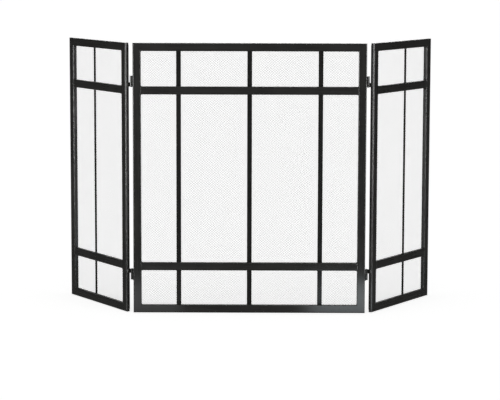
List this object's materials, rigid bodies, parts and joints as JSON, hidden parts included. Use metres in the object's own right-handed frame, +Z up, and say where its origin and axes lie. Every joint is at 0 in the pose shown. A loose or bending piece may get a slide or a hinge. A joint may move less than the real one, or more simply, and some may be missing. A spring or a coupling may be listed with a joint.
{
  "type": "fireplace screen",
  "caption": "Folding three-panel fireplace screen of black steel tube with crossbars and upright bars over woven wire mesh, wings hinged to a wide centre panel.",
  "frame": {"origin": "on the floor under the middle of the centre panel, half-way through the depth of its tubes", "axes": "+Z up, -Y to the front of the screen, +X to the right seen from the front, wings folded back towards +Y"},
  "size_m": [1.1094, 0.2899, 0.8001],
  "materials": {
    "frame_tube": "satin",
    "flat_bar": "satin",
    "retaining_strip": "satin",
    "wire_mesh": "matte",
    "hinge_leaf": "satin",
    "hinge_pin": "satin",
    "screw_heads": "satin"
  },
  "bodies": {
    "centre_panel": {"centre_bottom_rail": "frame_tube", "centre_bottom_strip": "retaining_strip", "centre_left_lower_knuckle": "hinge_leaf", "centre_left_muntin": "flat_bar", "centre_left_stile": "frame_tube", "centre_left_strip": "retaining_strip", "centre_left_upper_knuckle": "hinge_leaf", "centre_lower_crossbar": "frame_tube", "centre_mesh": "wire_mesh", "centre_middle_muntin": "flat_bar", "centre_right_lower_knuckle": "hinge_leaf", "centre_right_muntin": "flat_bar", "centre_right_stile": "frame_tube", "centre_right_strip": "retaining_strip", "centre_right_upper_knuckle": "hinge_leaf", "centre_screws": "screw_heads", "centre_top_rail": "frame_tube", "centre_top_strip": "retaining_strip", "centre_upper_crossbar": "frame_tube"},
    "left_wing": {"left_wing_bottom_rail": "frame_tube", "left_wing_bottom_strip": "retaining_strip", "left_wing_inner_stile": "frame_tube", "left_wing_inner_strip": "retaining_strip", "left_wing_lower_crossbar": "frame_tube", "left_wing_lower_hinge_pin": "hinge_pin", "left_wing_lower_knuckle": "hinge_leaf", "left_wing_mesh": "wire_mesh", "left_wing_muntin": "flat_bar", "left_wing_outer_stile": "frame_tube", "left_wing_outer_strip": "retaining_strip", "left_wing_screws": "screw_heads", "left_wing_top_rail": "frame_tube", "left_wing_top_strip": "retaining_strip", "left_wing_upper_crossbar": "frame_tube", "left_wing_upper_hinge_pin": "hinge_pin", "left_wing_upper_knuckle": "hinge_leaf"},
    "right_wing": {"right_wing_bottom_rail": "frame_tube", "right_wing_bottom_strip": "retaining_strip", "right_wing_inner_stile": "frame_tube", "right_wing_inner_strip": "retaining_strip", "right_wing_lower_crossbar": "frame_tube", "right_wing_lower_hinge_pin": "hinge_pin", "right_wing_lower_knuckle": "hinge_leaf", "right_wing_mesh": "wire_mesh", "right_wing_muntin": "flat_bar", "right_wing_outer_stile": "frame_tube", "right_wing_outer_strip": "retaining_strip", "right_wing_screws": "screw_heads", "right_wing_top_rail": "frame_tube", "right_wing_top_strip": "retaining_strip", "right_wing_upper_crossbar": "frame_tube", "right_wing_upper_hinge_pin": "hinge_pin", "right_wing_upper_knuckle": "hinge_leaf"}
  },
  "joints": [
    {"name": "left_wing_fold", "type": "hinge", "parent": "centre_panel", "child": "left_wing", "pos_m": [-0.3479, 0.011, 0.4], "axis": [0, 0, -1], "range_deg": [-85, 125]},
    {"name": "right_wing_fold", "type": "hinge", "parent": "centre_panel", "child": "right_wing", "pos_m": [0.3479, 0.011, 0.4], "axis": [0, 0, 1], "range_deg": [-85, 125]}
  ]
}
